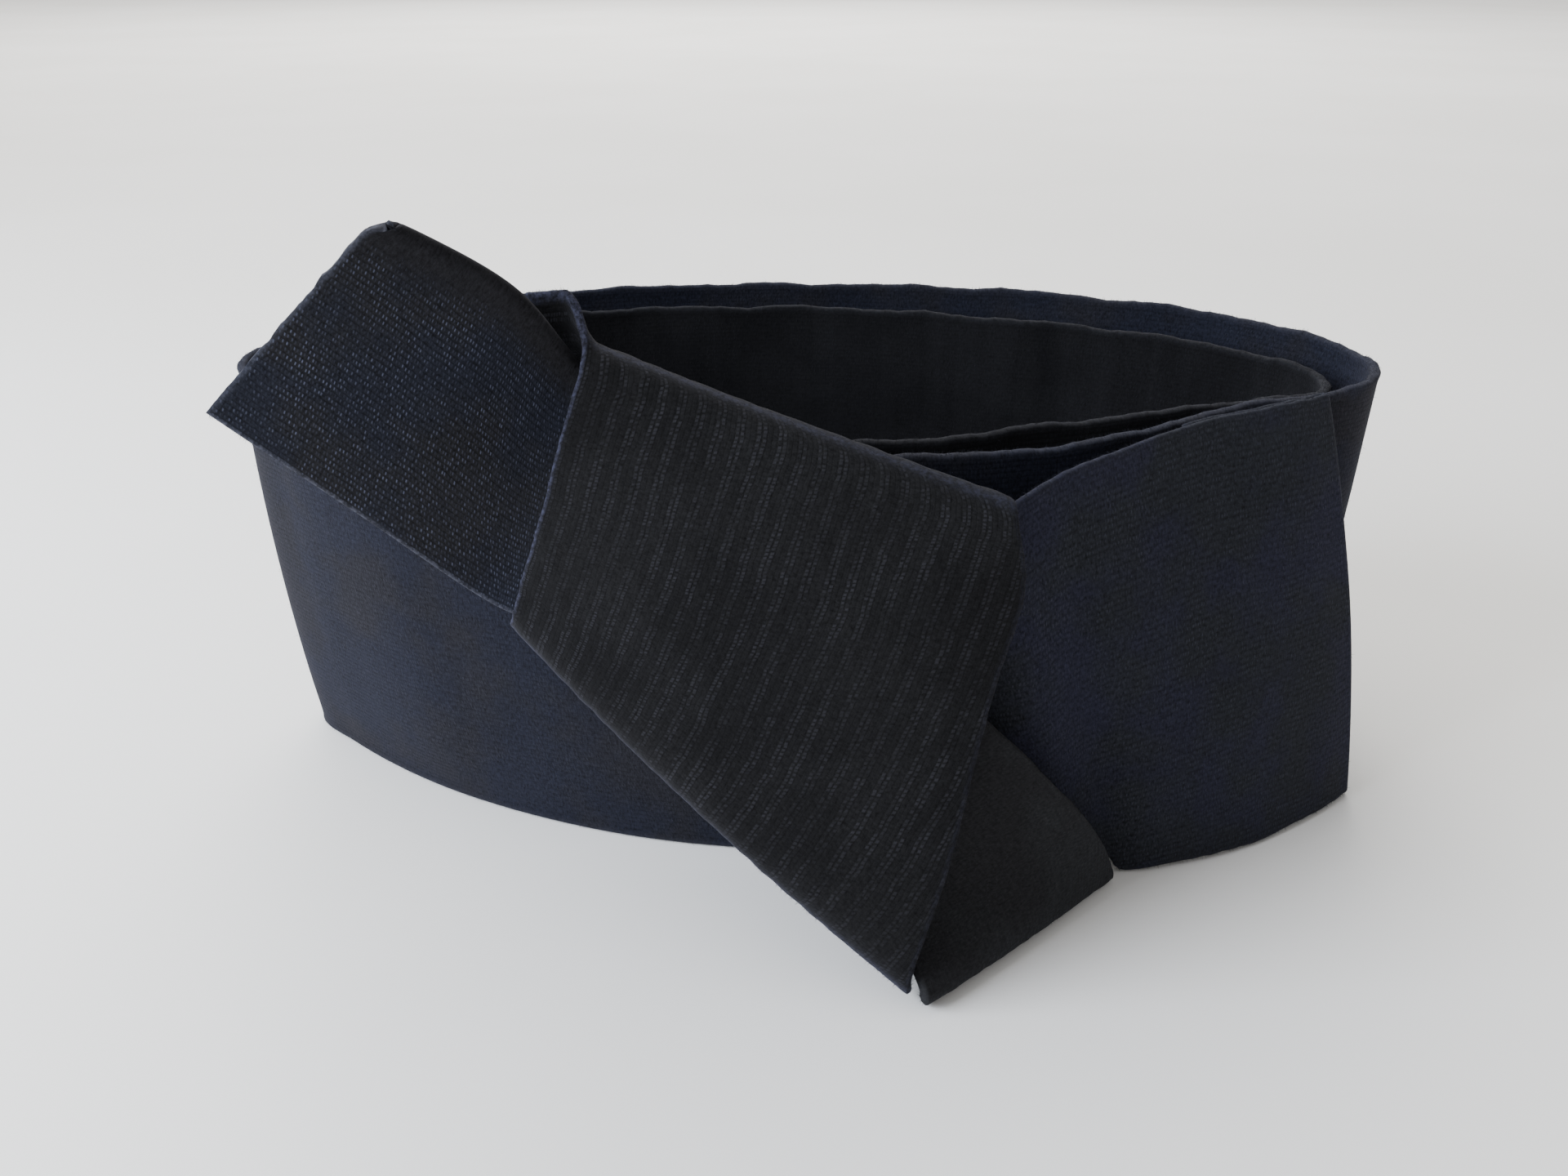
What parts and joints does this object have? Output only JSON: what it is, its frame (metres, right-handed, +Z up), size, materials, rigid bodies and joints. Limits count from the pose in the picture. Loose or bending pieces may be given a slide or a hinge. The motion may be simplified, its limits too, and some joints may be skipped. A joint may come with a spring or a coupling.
{
  "type": "tied kaku obi belt",
  "caption": "Flat woven sash belt wound into an upright oval ring of two turns and tied in front with a flat folded knot whose half-width end points up and full-width end lies sideways.",
  "frame": {"origin": "centre of the bounding box, at the level of the ring's lower edge", "axes": "+Z up, across the band; the knot is on the -Y side; +X to the right seen from the knot"},
  "size_m": [0.258, 0.1736, 0.1379],
  "materials": {
    "slate_cloth": "plain weave, matt, a little lighter where it faces the light",
    "charcoal_cloth": "fine lengthwise ribs, matt",
    "navy_cloth": "fine ribbed weave with light slanted flecks",
    "black_cloth": "same cloth in shade, matt"
  },
  "bodies": {
    "root": {"ring_outer_turn": "slate_cloth", "ring_inner_turn": "black_cloth", "tare_rise": "charcoal_cloth", "knot_band": "charcoal_cloth", "tare_end": "navy_cloth", "te_fold": "black_cloth", "te_end": "navy_cloth"}
  },
  "joints": []
}
